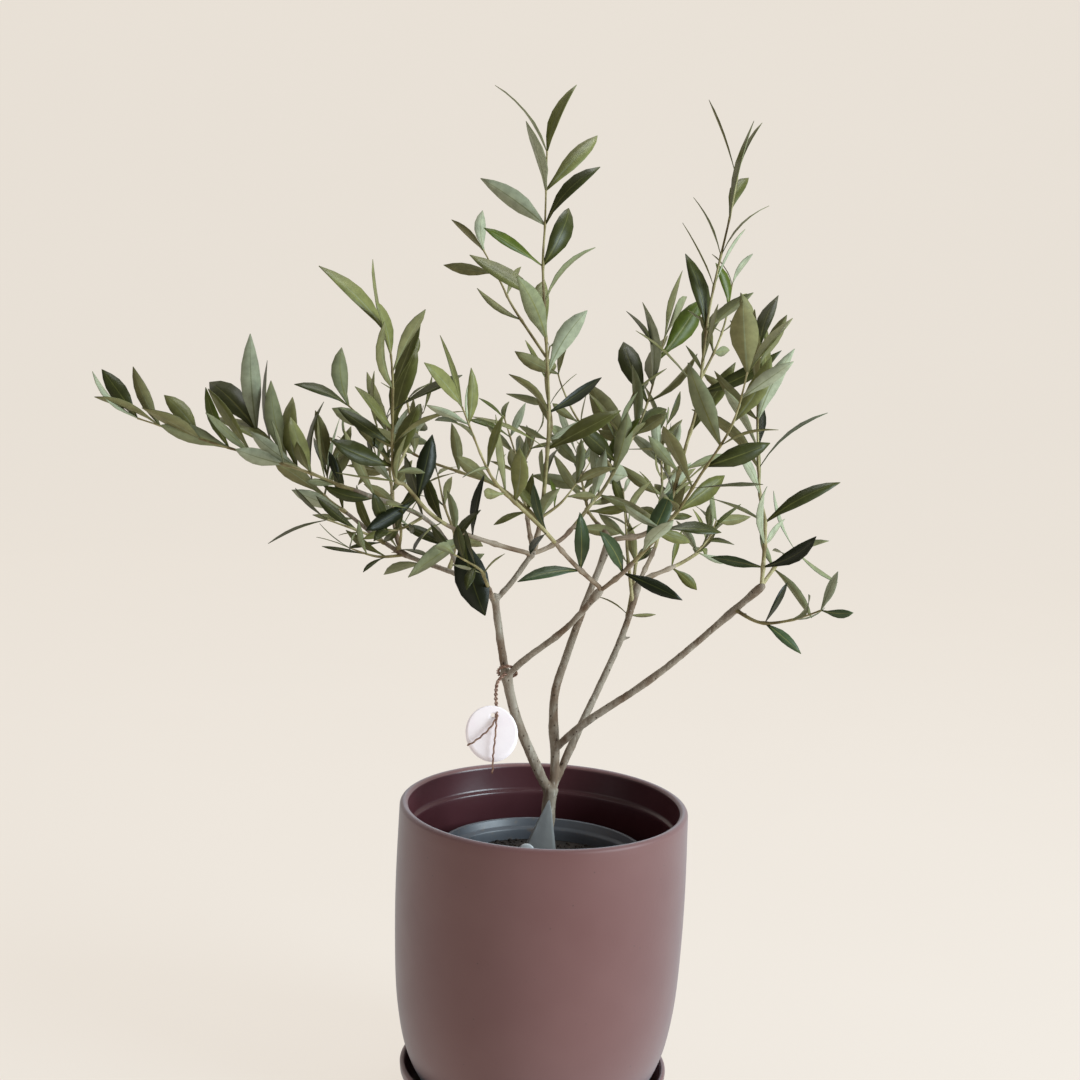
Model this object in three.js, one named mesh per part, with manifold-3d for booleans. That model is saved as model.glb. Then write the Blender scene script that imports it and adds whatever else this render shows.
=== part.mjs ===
// A young olive tree in its plastic nursery pot, standing in a glazed ceramic planter
// with a saucer. Millimetres, +Z up, origin at the middle of the saucer's flat underside.
// The crown leans and spreads along X; -Y is the side it is looked at from.
import * as THREE from 'three';
import { mergeVertices } from 'three/addons/utils/BufferGeometryUtils.js';
import Module from 'manifold-3d';

const wasm = await Module();
wasm.setup();

// ---- driving dimensions ----
const gap = 0.35;              // clearance kept between touching pieces
const saucerRim = 113;         // outer radius of the saucer's lip
const saucerHeight = 32;
const saucerFoot = 91;         // radius of the saucer's flat underside
const saucerWall = 4.5;
const saucerFloor = 6;
const planterRim = 120;        // outer radius of the planter's lip
const planterHeight = 260;     // top of the lip above the ground
const planterWall = 7;
const planterFloor = 10;
const planterFoot = 80;        // radius of the planter's flat foot
const planterBase = saucerFloor + gap;
const stepDrop = 24;           // the moulded step inside the planter, below its lip
const stepDepth = 3;
const drainHole = 9;
const nurseryRim = 88;         // outer radius of the plastic pot's lip
const nurseryHeight = 219;     // top of the plastic lip above the ground
const nurseryFoot = 62;
const nurseryWall = 1.6;
const nurseryBase = planterBase + planterFloor + gap;
const soilLevel = 205;
const soilDome = 3;            // how far the potting mix dips and rises
const trunkFoot = 6.6;         // radius of the stem where it leaves the soil
const rootFlare = 5;           // extra radius at the very foot
const flareHeight = 14;
const tagRadius = 22.5;
const tagThickness = 1.2;
const wireRadius = 0.7;
const limbSides = 6;
const massSides = 9;
const massRings = 8;
const latheSides = 36;

// ---- materials ----
const finish = (color, roughness, metalness = 0) =>
  new THREE.MeshStandardMaterial({ color, roughness, metalness });
const ceramic = () => finish(0x7c605c, 0.55);
const plastic = () => finish(0x6d737b, 0.45);
const earth = () => finish(0x1f1812, 0.95);
const greyBark = () => finish(0x8f8270, 0.8);
const youngBark = () => finish(0x8a7c52, 0.7);
const leaves = () => finish(0x66753f, 0.6);
const paleLeaves = () => finish(0x8f9c7a, 0.6);
const card = () => finish(0xf0d8dc, 0.5);
const wire = () => finish(0x7a4a33, 0.4, 0.6);
const film = () => finish(0xb9bdbb, 0.3);

// ---- solids ----
// A closed geometry becomes a manifold solid once only its positions are left.
function toSolid(geometry) {
  const bare = geometry.clone();
  bare.deleteAttribute('normal');
  bare.deleteAttribute('uv');
  const merged = mergeVertices(bare, 1e-4);
  return new wasm.Manifold(new wasm.Mesh({
    numProp: 3,
    vertProperties: new Float32Array(merged.attributes.position.array),
    triVerts: new Uint32Array(merged.index.array),
  }));
}

function toGeometry(solid) {
  const mesh = solid.getMesh();
  const geometry = new THREE.BufferGeometry();
  geometry.setAttribute('position', new THREE.BufferAttribute(mesh.vertProperties, 3));
  geometry.setIndex(new THREE.BufferAttribute(mesh.triVerts, 1));
  geometry.computeVertexNormals();
  return geometry;
}

// A cut can leave a loose crumb behind: only the body itself is kept.
function biggestPiece(solid) {
  const pieces = solid.decompose();
  pieces.sort((a, b) => b.volume() - a.volume());
  return pieces[0];
}

function boxOf(points) {
  return new THREE.Box3().setFromPoints(points.map((p) => new THREE.Vector3(...p)));
}

// Bends an upright shape of height 1 along a curve. girth(t, angle) is its radius there.
function bend(shape, curve, girth, overrun = 0) {
  const place = shape.attributes.position;
  const steps = 48;
  const frames = curve.computeFrenetFrames(steps);
  const point = new THREE.Vector3();
  for (let i = 0; i < place.count; i += 1) {
    point.fromBufferAttribute(place, i);
    const t = THREE.MathUtils.clamp(point.y, 0, 1);
    const past = (point.y <= 0 ? -overrun : 0) + (point.y >= 1 ? overrun : 0);
    const across = Math.hypot(point.x, point.z);
    const angle = Math.atan2(point.z, point.x);
    const radius = across * girth(t, angle);
    const k = Math.round(t * steps);
    const spot = curve.getPointAt(t);
    spot.addScaledVector(frames.tangents[k], past);
    spot.addScaledVector(frames.binormals[k], radius * Math.cos(angle));
    spot.addScaledVector(frames.normals[k], radius * Math.sin(angle));
    place.setXYZ(i, spot.x, spot.y, spot.z);
  }
  return shape;
}

const curveThrough = (points) =>
  new THREE.CatmullRomCurve3(points.map((p) => new THREE.Vector3(...p)), false, 'centripetal');

// A tapering limb: a drum of unit height bent along its route, thicker by grow all over.
function limbSolid(limb, grow = 0) {
  const rings = 2 * (limb.route.length - 1) + 1;
  const drum = new THREE.CylinderGeometry(1, 1, 1, limbSides, rings);
  drum.translate(0, 0.5, 0);
  const girth = (t) => {
    const flare = limb.flare ? limb.flare * Math.exp((-t * limb.length) / (flareHeight / 2.5)) : 0;
    return THREE.MathUtils.lerp(limb.thick, limb.thin, t) + flare + grow;
  };
  return toSolid(bend(drum, curveThrough(limb.route), girth, grow));
}

// A mass of foliage: a lumpy spindle, fullest just past its middle, bent along its route.
// Its lumps are slow waves whose phases come from the mass's own number.
function massSolid(mass, grow = 0) {
  const ball = new THREE.SphereGeometry(1, massSides, massRings);
  const place = ball.attributes.position;
  for (let i = 0; i < place.count; i += 1) {
    const y = place.getY(i);
    const around = Math.hypot(place.getX(i), place.getZ(i)) || 1;
    const atPole = Math.abs(y) > 1 - 1e-6;
    const scale = atPole ? 0 : 1 / around;
    place.setXYZ(i, place.getX(i) * scale, (y + 1) / 2, place.getZ(i) * scale);
  }
  const phase = mass.number * 2.399;
  const girth = (t, angle) => {
    const plump = Math.pow(Math.sin(Math.PI * Math.pow(t, mass.late)), 0.62);
    const lumps = 1
      + 0.16 * Math.sin(2 * angle + 7 * t + phase)
      + 0.11 * Math.sin(3 * angle - 9 * t + 1.7 * phase)
      + 0.08 * Math.sin(11 * t + 2.3 * phase);
    return mass.width * plump * lumps + grow;
  };
  return toSolid(bend(ball, curveThrough(mass.route), girth, grow));
}

// ---- the wood, from the soil up: route, radius at its start and at its end ----
const woodParts = [
  { name: 'trunk', route: [[3, 0, soilLevel + gap], [3, 0, 238], [5, 0, 274]],
    thick: trunkFoot, thin: 6, flare: rootFlare },
  { name: 'left_limb', route: [[4, 0, 268], [-9, -4, 295], [-27, -12, 338], [-37, -18, 378]],
    thick: 4.6, thin: 4.2 },
  { name: 'left_limb_upper', route: [[-37, -18, 376], [-42, -18, 404], [-48, -15, 438]],
    thick: 3.6, thin: 3.3 },
  { name: 'front_bough', route: [[-36, -19, 372], [-17, -35, 394], [10, -50, 420], [38, -70, 460]],
    thick: 3, thin: 2.5 },
  { name: 'centre_limb', route: [[6, 1, 268], [8, 5, 310], [2, 8, 334], [17, 16, 396], [46, 30, 482]],
    thick: 4.6, thin: 2.8 },
  { name: 'right_limb', route: [[6, 2, 272], [27, 20, 320], [62, 50, 400], [73, 70, 440]],
    thick: 3.8, thin: 2.6 },
  { name: 'low_right_limb', route: [[7, 3, 306], [33, -12, 336], [81, -25, 375], [169, -48, 466]],
    thick: 3.6, thin: 2.5 },
  { name: 'middle_bough', route: [[-47, -15, 434], [-36, -10, 446], [-18, 0, 472]],
    thick: 2.6, thin: 2.4 },
  { name: 'left_bough', route: [[-48, -14, 434], [-73, 10, 446], [-132, 50, 458], [-182, 81, 486]],
    thick: 2.6, thin: 1.8 },
  { name: 'brown_bough', route: [[-49, -16, 436], [-74, -22, 454], [-96, -35, 497], [-165, -53, 527]],
    thick: 2.5, thin: 1.9 },
  { name: 'front_left_stem', route: [[37, -70, 458], [11, -90, 484], [-9, -110, 509], [-30, -126, 531]],
    thick: 1.9, thin: 1.6 },
  { name: 'front_right_stem', route: [[38, -70, 458], [52, -82, 474], [76, -106, 508]],
    thick: 1.9, thin: 1.7 },
  { name: 'left_shoot_stem', route: [[-17, 0, 470], [-45, -15, 479], [-93, -45, 502], [-122, -76, 538]],
    thick: 2, thin: 1.6 },
  { name: 'centre_shoot_stem', route: [[-18, 0, 470], [-13, 0, 500], [-11, 0, 532]],
    thick: 2.2, thin: 1.9 },
  { name: 'centre_right_stem', route: [[-17, 1, 471], [3, 15, 479], [33, 50, 512]],
    thick: 1.9, thin: 1.6 },
  { name: 'right_shoot_stem', route: [[46, 30, 480], [70, 35, 483], [88, 39, 495], [98, 44, 528]],
    thick: 2.3, thin: 1.8 },
  { name: 'inner_right_stem', route: [[46, 30, 480], [34, 45, 490], [24, 62, 500]],
    thick: 1.8, thin: 1.5 },
  { name: 'back_right_stem', route: [[73, 70, 438], [88, 108, 464], [92, 128, 480]],
    thick: 1.9, thin: 1.6 },
  { name: 'outer_right_stem', route: [[73, 69, 438], [109, 85, 452], [124, 96, 460]],
    thick: 1.9, thin: 1.6 },
  { name: 'back_centre_stem', route: [[-18, 0, 470], [-24, 45, 490], [-30, 92, 522]],
    thick: 1.9, thin: 1.5 },
  { name: 'back_left_stem', route: [[-130, 49, 458], [-136, 62, 478], [-140, 82, 502]],
    thick: 1.8, thin: 1.5 },
  { name: 'inner_left_stem', route: [[-48, -16, 434], [-52, -38, 448], [-56, -58, 462]],
    thick: 1.7, thin: 1.4 },
];

// ---- the masses of leaves: route from bough's end to furthest tip, and half width ----
const massParts = [
  { name: 'far_left_foliage', route: [[-157, -51, 526], [-205, -60, 566], [-270, -70, 592], [-357, -85, 606]],
    width: 41, late: 0.72, pale: false },
  { name: 'left_outer_foliage', route: [[-175, 77, 482], [-225, 108, 494], [-298, 140, 536]],
    width: 42, late: 0.8, pale: false },
  { name: 'left_tall_foliage', route: [[-118, -71, 532], [-130, -95, 600], [-142, -114, 706]],
    width: 41, late: 0.85, pale: true },
  { name: 'front_left_foliage', route: [[-24, -120, 526], [-52, -146, 562], [-95, -180, 652]],
    width: 41, late: 0.85, pale: true },
  { name: 'crown_top_foliage', route: [[-12, 0, 525], [-11, 0, 640], [-20, 0, 760], [-22, 2, 852]],
    width: 39, late: 1, pale: false },
  { name: 'crown_left_foliage', route: [[-42, 32, 655], [-62, 75, 700], [-92, 105, 768]],
    width: 33, late: 0.95, pale: false },
  { name: 'centre_right_foliage', route: [[29, 46, 508], [63, 85, 560], [92, 128, 676]],
    width: 40, late: 0.9, pale: true },
  { name: 'front_right_foliage', route: [[73, -103, 504], [104, -132, 560], [142, -168, 692]],
    width: 44, late: 0.9, pale: false },
  { name: 'right_tall_foliage', route: [[97, 43, 522], [114, 54, 620], [128, 66, 730], [142, 76, 852]],
    width: 42, late: 0.95, pale: false },
  { name: 'right_outer_foliage', route: [[169, -48, 472], [160, -32, 560], [170, -5, 660], [188, 10, 742]],
    width: 46, late: 1.1, pale: false },
  { name: 'low_right_foliage', route: [[146, -50, 436], [190, -72, 443], [248, -100, 468]],
    width: 25, late: 1, pale: false },
  { name: 'right_low_foliage', route: [[176, -38, 474], [205, -5, 492], [243, 22, 512]],
    width: 30, late: 1, pale: false },
  { name: 'outer_right_foliage', route: [[118, 92, 456], [150, 118, 480], [192, 152, 520]],
    width: 34, late: 0.9, pale: true },
  { name: 'back_right_foliage', route: [[91, 122, 474], [92, 160, 520], [84, 205, 622]],
    width: 42, late: 0.9, pale: false },
  { name: 'inner_right_foliage', route: [[27, 57, 497], [12, 84, 520], [2, 110, 590]],
    width: 33, late: 0.9, pale: false },
  { name: 'back_centre_foliage', route: [[-29, 86, 518], [-40, 140, 560], [-46, 196, 655]],
    width: 42, late: 0.9, pale: true },
  { name: 'back_left_foliage', route: [[-139, 76, 496], [-145, 110, 540], [-150, 150, 622]],
    width: 40, late: 0.9, pale: false },
  { name: 'inner_left_foliage', route: [[-55, -53, 458], [-62, -84, 474], [-78, -118, 512]],
    width: 34, late: 0.9, pale: false },
];

// ---- the pot: planter, saucer, nursery pot and potting mix, all turned on one axis ----
function turned(profile) {
  const points = profile.map(([r, z]) => new THREE.Vector2(r, z));
  const body = new THREE.LatheGeometry(points, latheSides);
  body.rotateX(Math.PI / 2);
  return toSolid(body);
}

// Half a circle of lip between an outer and an inner wall of the given thickness.
function lip(outer, top, wall, steps = 3) {
  const points = [];
  for (let i = 0; i <= steps; i += 1) {
    const turn = (Math.PI * i) / steps;
    points.push([outer - wall / 2 + (wall / 2) * Math.cos(turn), top - wall / 2 + (wall / 2) * Math.sin(turn)]);
  }
  return points;
}

// The planter swells a little below its lip, then curves in to a narrow foot.
const planterBulge = [[planterFoot, 0], [0.76 * planterRim, 8], [0.84 * planterRim, 22], [0.9 * planterRim, 38],
  [0.945 * planterRim, 58], [0.985 * planterRim, 92], [1.005 * planterRim, 140], [1.01 * planterRim, 190]];

function planterSolid() {
  const outside = planterBulge.map(([r, z]) => [r, z + planterBase]);
  const inside = planterBulge.slice(2).reverse().map(([r, z]) => [r - planterWall, z + planterBase]);
  const narrow = inside.filter(([, z]) => z < planterHeight - stepDrop)
    .map(([r, z]) => [r - stepDepth, z]);
  const stepTop = planterHeight - stepDrop;
  const throat = planterRim - planterWall;
  const profile = [
    [drainHole, planterBase],
    ...outside,
    ...lip(planterRim, planterHeight, planterWall),
    [throat, stepTop + 1.5],
    [throat - stepDepth, stepTop],
    ...narrow,
    [0.74 * planterRim - planterWall, planterBase + planterFloor],
    [drainHole, planterBase + planterFloor],
    [drainHole, planterBase],
  ];
  return turned(profile);
}

function saucerSolid() {
  const slope = [[saucerFoot, 0], [saucerFoot + 8, 4], [saucerFoot + 16, 13], [saucerRim - 0.5, 24]];
  const hollow = slope.slice(1).reverse().map(([r, z]) => [r - saucerWall - 0.6, z + 3]);
  return turned([
    [0, 0],
    ...slope,
    ...lip(saucerRim, saucerHeight, saucerWall),
    ...hollow,
    [saucerFoot - 1, saucerFloor],
    [0, saucerFloor],
  ]);
}

function nurseryRadius(z) {
  return THREE.MathUtils.lerp(nurseryFoot, nurseryRim - 4, (z - nurseryBase) / (nurseryHeight - nurseryBase));
}

function nurseryPotSolid() {
  const collar = nurseryHeight - 12;
  return turned([
    [0, nurseryBase],
    [nurseryFoot, nurseryBase],
    [nurseryRadius(collar), collar],
    [nurseryRim - 1.5, collar],
    [nurseryRim, nurseryHeight],
    [nurseryRim - 2.5, nurseryHeight],
    [nurseryRim - 4, collar + 5],
    [nurseryRadius(collar) - nurseryWall, collar + 4],
    [nurseryFoot - nurseryWall, nurseryBase + nurseryWall],
    [0, nurseryBase + nurseryWall],
  ]);
}

function soilSolid() {
  const low = nurseryBase + nurseryWall + gap;
  const inner = (z) => nurseryRadius(z) - nurseryWall - 2 * gap;
  return turned([
    [0, low],
    [nurseryFoot - nurseryWall - 2 * gap, low],
    [inner(soilLevel - 4), soilLevel - 4],
    [0.72 * nurseryRim, soilLevel - soilDome],
    [0.35 * nurseryRim, soilLevel],
    [0, soilLevel],
  ]);
}

// ---- the tag that hangs on a twisted tie from the left limb ----
const tagMiddle = [-45, -47, 331];
const tagTurn = THREE.MathUtils.degToRad(12);
const eyelet = [-43, -46, 349];

function tagSolid(grow = 0) {
  const disc = new THREE.CylinderGeometry(tagRadius + grow, tagRadius + grow, tagThickness + 2 * grow, 28);
  disc.rotateZ(tagTurn);
  disc.translate(...tagMiddle);
  return toSolid(disc);
}

function tieSolid(grow = 0) {
  const route = [[-36, -26, 386], [-42, -36, 374], [-43, -46, 362], eyelet, [-41, -51, 330], [-43, -50, 299]];
  const circle = new THREE.Shape().absarc(0, 0, wireRadius + grow, 0, 2 * Math.PI);
  const tube = new THREE.ExtrudeGeometry(circle, {
    extrudePath: curveThrough(route), steps: 14, curveSegments: 3, bevelEnabled: false,
  });
  return toSolid(tube);
}

// ---- the wedge of clear film stuck in the soil at the stem's foot ----
function filmSolid() {
  const outline = new THREE.Shape();
  outline.moveTo(-18, 0);
  outline.quadraticCurveTo(-8, 14, 3, 62);
  outline.lineTo(7, 62);
  outline.quadraticCurveTo(11, 26, 13, 0);
  outline.closePath();
  const sheet = new THREE.ExtrudeGeometry(outline, { depth: 1, curveSegments: 4, bevelEnabled: false });
  sheet.rotateX(Math.PI / 2);
  sheet.translate(2, -14, soilLevel + gap);
  return toSolid(sheet);
}

// ---- assembly ----
const tree = new THREE.Group();
tree.name = 'potted_olive_tree';
const placed = [];

function addMesh(name, material, solid) {
  const mesh = new THREE.Mesh(toGeometry(solid), material);
  mesh.name = name;
  tree.add(mesh);
}

// Adds one named mesh, cut clear of every piece placed before it that comes near.
function place(name, material, make) {
  let solid = make(0);
  const box = solid.boundingBox();
  const reach = boxOf([box.min, box.max]).expandByScalar(2 * gap);
  for (const other of placed) {
    if (other.reach.intersectsBox(reach)) {
      solid = solid.subtract(other.make(gap));
    }
  }
  solid = biggestPiece(solid);
  placed.push({ make, reach });
  addMesh(name, material, solid);
}

addMesh('saucer', ceramic(), saucerSolid());
addMesh('planter', ceramic(), planterSolid());
addMesh('nursery_pot', plastic(), nurseryPotSolid());
addMesh('potting_mix', earth(), soilSolid());

woodParts.forEach((limb) => {
  limb.length = curveThrough(limb.route).getLength();
  const bark = limb.name.endsWith('stem') ? youngBark() : greyBark();
  place(limb.name, bark, (grow) => limbSolid(limb, grow));
});

place('tag_tie', wire(), tieSolid);
place('hanging_tag', card(), tagSolid);
place('clear_film', film(), filmSolid);

massParts.forEach((mass, i) => {
  mass.number = i + 1;
  place(mass.name, mass.pale ? paleLeaves() : leaves(), (grow) => massSolid(mass, grow));
});

export default tree;
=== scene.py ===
import math
import random
import bpy
import bmesh
from mathutils import Matrix, Vector, noise


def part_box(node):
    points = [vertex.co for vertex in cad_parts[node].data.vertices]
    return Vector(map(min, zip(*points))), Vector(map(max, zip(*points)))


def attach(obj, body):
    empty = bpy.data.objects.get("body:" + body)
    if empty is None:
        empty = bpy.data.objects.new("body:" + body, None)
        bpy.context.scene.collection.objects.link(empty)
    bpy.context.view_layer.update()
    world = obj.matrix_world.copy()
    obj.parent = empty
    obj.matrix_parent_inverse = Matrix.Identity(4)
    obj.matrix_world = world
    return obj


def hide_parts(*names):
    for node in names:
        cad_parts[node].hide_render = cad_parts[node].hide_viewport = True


# A young olive tree in a matte ceramic planter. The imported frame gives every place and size;
# this script adds bark, twigs, leaves, glaze, soil and the hang tag around it.
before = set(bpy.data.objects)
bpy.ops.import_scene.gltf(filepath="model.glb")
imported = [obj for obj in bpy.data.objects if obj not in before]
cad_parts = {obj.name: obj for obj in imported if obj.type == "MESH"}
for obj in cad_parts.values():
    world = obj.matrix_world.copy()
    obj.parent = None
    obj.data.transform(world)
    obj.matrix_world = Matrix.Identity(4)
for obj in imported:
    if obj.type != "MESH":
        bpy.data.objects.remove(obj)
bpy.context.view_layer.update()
mm = 0.001


# Camera, light and floor

view = {"place": (-0.013, -1.68, 0.793), "down": 10.48, "roll": 2.51, "lens": 70}


def addCamera():
    data = bpy.data.cameras.new("camera")
    data.lens = view["lens"]
    data.sensor_width = 36
    data.clip_end = 50
    item = bpy.data.objects.new("camera", data)
    aim = Matrix.Rotation(math.radians(90 - view["down"]), 4, "X")
    roll = Matrix.Rotation(math.radians(view["roll"]), 4, "Z")
    item.matrix_world = Matrix.Translation(view["place"]) @ aim @ roll
    bpy.context.scene.collection.objects.link(item)
    bpy.context.scene.camera = item


lamps = {
    "key": {"place": (2.05, -1.0, 1.15), "height": 0.4, "size": 1.3, "power": 74, "colour": (0.78, 0.92, 1)},
    "fill": {"place": (-2.2, -1.4, 1.3), "height": 0.4, "size": 1.8, "power": 2.5, "colour": (1, 0.93, 0.86)},
    "top": {"place": (0.2, 0.7, 2.4), "height": 0.5, "size": 1.4, "power": 22, "colour": (0.97, 0.98, 1)},
}
world = {"colour": (0.96, 0.95, 0.93, 1), "strength": 0.24}


def setTone():
    bpy.context.scene.view_settings.view_transform = "Standard"


def addLamps():
    for name, it in lamps.items():
        data = bpy.data.lights.new(name, "AREA")
        data.shape = "DISK"
        data.size = it["size"]
        data.energy = it["power"]
        data.color = it["colour"]
        item = bpy.data.objects.new(name, data)
        away = Vector(it["place"]) - Vector((0, 0, it["height"]))
        item.rotation_euler = away.to_track_quat("Z", "Y").to_euler()
        item.location = it["place"]
        bpy.context.scene.collection.objects.link(item)
    sky = bpy.data.worlds.new("softSky")
    sky.use_nodes = True
    setSockets(sky.node_tree.nodes["Background"], {"Color": world["colour"], "Strength": world["strength"]})
    bpy.context.scene.world = sky


# Small helpers

def linkPiece(name, bm, materials):
    mesh = bpy.data.meshes.new(name)
    bm.to_mesh(mesh)
    bm.free()
    for mat in materials:
        mesh.materials.append(mat)
    mesh.polygons.foreach_set("use_smooth", [True] * len(mesh.polygons))
    item = bpy.data.objects.new(name, mesh)
    bpy.context.scene.collection.objects.link(item)
    return item


def standFor(item, slotName, *nodes):
    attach(item, "root")
    if nodes:
        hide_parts(*nodes)


def setSockets(node, values):
    for name, value in values.items():
        node.inputs[name].default_value = value


def blankMaterial(name, roughness):
    mat = bpy.data.materials.new(name)
    mat.use_nodes = True
    shader = mat.node_tree.nodes["Principled BSDF"]
    setSockets(shader, {"Roughness": roughness})
    return mat, mat.node_tree, shader


def coords(tree, stretch=(1, 1, 1)):
    place = tree.nodes.new("ShaderNodeTexCoord")
    mapping = tree.nodes.new("ShaderNodeMapping")
    setSockets(mapping, {"Scale": stretch})
    tree.links.new(place.outputs["Object"], mapping.inputs["Vector"])
    return mapping.outputs["Vector"]


def grain(tree, where, scale, detail=4, rough=0.55):
    node = tree.nodes.new("ShaderNodeTexNoise")
    setSockets(node, {"Scale": scale, "Detail": detail, "Roughness": rough})
    tree.links.new(where, node.inputs["Vector"])
    return node.outputs["Fac"]


def ramp(tree, source, stops):
    node = tree.nodes.new("ShaderNodeValToRGB")
    steps = node.color_ramp.elements
    while len(steps) < len(stops):
        steps.new(0.5)
    for step, (at, tone) in zip(steps, stops):
        step.position = at
        step.color = (*tone, 1)
    tree.links.new(source, node.inputs["Fac"])
    return node.outputs["Color"]


def blendColours(tree, amount, first, second, how="MIX"):
    node = tree.nodes.new("ShaderNodeMix")
    node.data_type = "RGBA"
    node.blend_type = how
    for socket, value in ((node.inputs[0], amount), (node.inputs[6], first), (node.inputs[7], second)):
        if hasattr(value, "is_linked"):
            tree.links.new(value, socket)
        else:
            socket.default_value = value if socket == node.inputs[0] else (*value, 1)
    return node.outputs[2]


def mask(tree, source, low, high, much=1.0):
    # nothing below one value, and this much from the next
    return ramp(tree, source, [(low, (0, 0, 0)), (high, (much, much, much))])


def spots(tree, where, scale, full, edge):
    # round spots that fade out between two distances from each cell's middle
    node = tree.nodes.new("ShaderNodeTexVoronoi")
    setSockets(node, {"Scale": scale})
    tree.links.new(where, node.inputs["Vector"])
    return ramp(tree, node.outputs["Distance"], [(full, (1, 1, 1)), (edge, (0, 0, 0))])


def relief(tree, shader, height, strength, distance):
    node = tree.nodes.new("ShaderNodeBump")
    setSockets(node, {"Strength": strength, "Distance": distance})
    tree.links.new(height, node.inputs["Height"])
    tree.links.new(node.outputs["Normal"], shader.inputs["Normal"])


def wearRoughness(tree, shader, source, low, high):
    node = tree.nodes.new("ShaderNodeMapRange")
    setSockets(node, {"To Min": low, "To Max": high})
    tree.links.new(source, node.inputs["Value"])
    tree.links.new(node.outputs["Result"], shader.inputs["Roughness"])


# Finishes

def softSkin(name, roughness, scale, detail, low, high, at=(0.3, 0.7), rough=0.55):
    # a finish whose base colour drifts between two tones
    mat, tree, shader = blankMaterial(name, roughness)
    where = coords(tree)
    body = ramp(tree, grain(tree, where, scale, detail, rough), [(at[0], low), (at[1], high)])
    tree.links.new(body, shader.inputs["Base Color"])
    return mat, tree, shader, where, body


def ceramicOutside():
    low, high = (0.154, 0.056, 0.050), (0.179, 0.074, 0.067)
    mat, tree, shader, where, body = softSkin("matteGlaze", 0.5, 9, 3, low, high)
    dots = spots(tree, where, 130, 0.055, 0.09)
    rare = mask(tree, grain(tree, where, 60, 1), 0.56, 0.62)
    specks = blendColours(tree, 1.0, dots, rare, "MULTIPLY")
    colour = blendColours(tree, specks, body, (0.085, 0.04, 0.035))
    tree.links.new(colour, shader.inputs["Base Color"])
    wearRoughness(tree, shader, grain(tree, where, 45, 3), 0.42, 0.56)
    relief(tree, shader, grain(tree, where, 420, 3), 0.08, 0.0006)
    setSockets(shader, {"Specular IOR Level": 0.4, "Sheen Weight": 0.42, "Sheen Roughness": 0.55,
                        "Sheen Tint": (0.70, 0.88, 1, 1)})
    return mat


def ceramicInside():
    low, high = (0.060, 0.0165, 0.020), (0.082, 0.026, 0.031)
    mat, tree, shader, where = softSkin("plumGlaze", 0.3, 14, 4, low, high)[:4]
    wearRoughness(tree, shader, grain(tree, where, 30, 3), 0.24, 0.38)
    relief(tree, shader, grain(tree, where, 160, 3), 0.1, 0.0006)
    return mat


def nurseryPlastic():
    low, high = (0.066, 0.073, 0.087), (0.106, 0.114, 0.129)
    mat, tree, shader, where, body = softSkin("greyPlastic", 0.4, 22, 5, low, high)
    dust = mask(tree, grain(tree, where, 160, 4), 0.6, 0.75, 0.6)
    colour = blendColours(tree, dust, body, (0.16, 0.12, 0.09))
    tree.links.new(colour, shader.inputs["Base Color"])
    wearRoughness(tree, shader, grain(tree, where, 90, 3), 0.32, 0.5)
    relief(tree, shader, grain(tree, where, 700, 2), 0.06, 0.0004)
    return mat


def soilMix():
    mat, tree, shader = blankMaterial("darkSoil", 0.95)
    where = coords(tree)
    tones = [(0.3, (0.006, 0.004, 0.003)), (0.55, (0.022, 0.014, 0.009)), (0.75, (0.06, 0.04, 0.026))]
    body = ramp(tree, grain(tree, where, 180, 6, 0.7), tones)
    tree.links.new(body, shader.inputs["Base Color"])
    relief(tree, shader, grain(tree, where, 420, 5, 0.7), 0.6, 0.002)
    return mat


def barkOld():
    # smooth grey-tan skin, browner in patches, with small dark pores and pale streaks
    mat, tree, shader = blankMaterial("greyBark", 0.75)
    where = coords(tree)
    along = coords(tree, (1, 1, 0.22))
    tones = [(0.3, (0.185, 0.145, 0.105)), (0.5, (0.310, 0.262, 0.205)), (0.72, (0.420, 0.375, 0.310))]
    skinTone = ramp(tree, grain(tree, along, 130, 5, 0.55), tones)
    patch = mask(tree, grain(tree, where, 30, 4, 0.6), 0.5, 0.62, 0.9)
    aged = blendColours(tree, patch, skinTone, blendColours(tree, 0.72, skinTone, (0.135, 0.072, 0.036)))
    streak = mask(tree, grain(tree, along, 520, 4, 0.6), 0.6, 0.72, 0.55)
    pale = blendColours(tree, streak, aged, (0.54, 0.50, 0.43))
    pores = spots(tree, coords(tree, (1, 1, 0.7)), 230, 0.1, 0.18)
    colour = blendColours(tree, pores, pale, (0.060, 0.038, 0.026))
    tree.links.new(colour, shader.inputs["Base Color"])
    relief(tree, shader, grain(tree, along, 380, 6, 0.65), 0.35, 0.001)
    setSockets(shader, {"Specular IOR Level": 0.25})
    return mat


def barkYoung(name, low, middle, high):
    mat, tree, shader = blankMaterial(name, 0.6)
    where = coords(tree)
    tone = ramp(tree, grain(tree, where, 48, 4, 0.6), [(0.36, low), (0.5, middle), (0.66, high)])
    fleck = mask(tree, grain(tree, where, 900, 3), 0.62, 0.72, 0.6)
    colour = blendColours(tree, fleck, tone, (0.10, 0.065, 0.035))
    tree.links.new(colour, shader.inputs["Base Color"])
    relief(tree, shader, grain(tree, where, 800, 4), 0.3, 0.0006)
    setSockets(shader, {"Specular IOR Level": 0.3})
    return mat


def leafSide(name, tone, roughness, gloss):
    dark = tuple(c * 0.78 for c in tone)
    light = tuple(c * 1.16 for c in tone)
    mat, tree, shader, where = softSkin(name, roughness, 130, 4, dark, light, rough=0.6)[:4]
    relief(tree, shader, grain(tree, where, 900, 3), 0.12, 0.0004)
    setSockets(shader, {"Specular IOR Level": gloss})
    return mat


middling = (0.35, 0.65)


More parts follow.
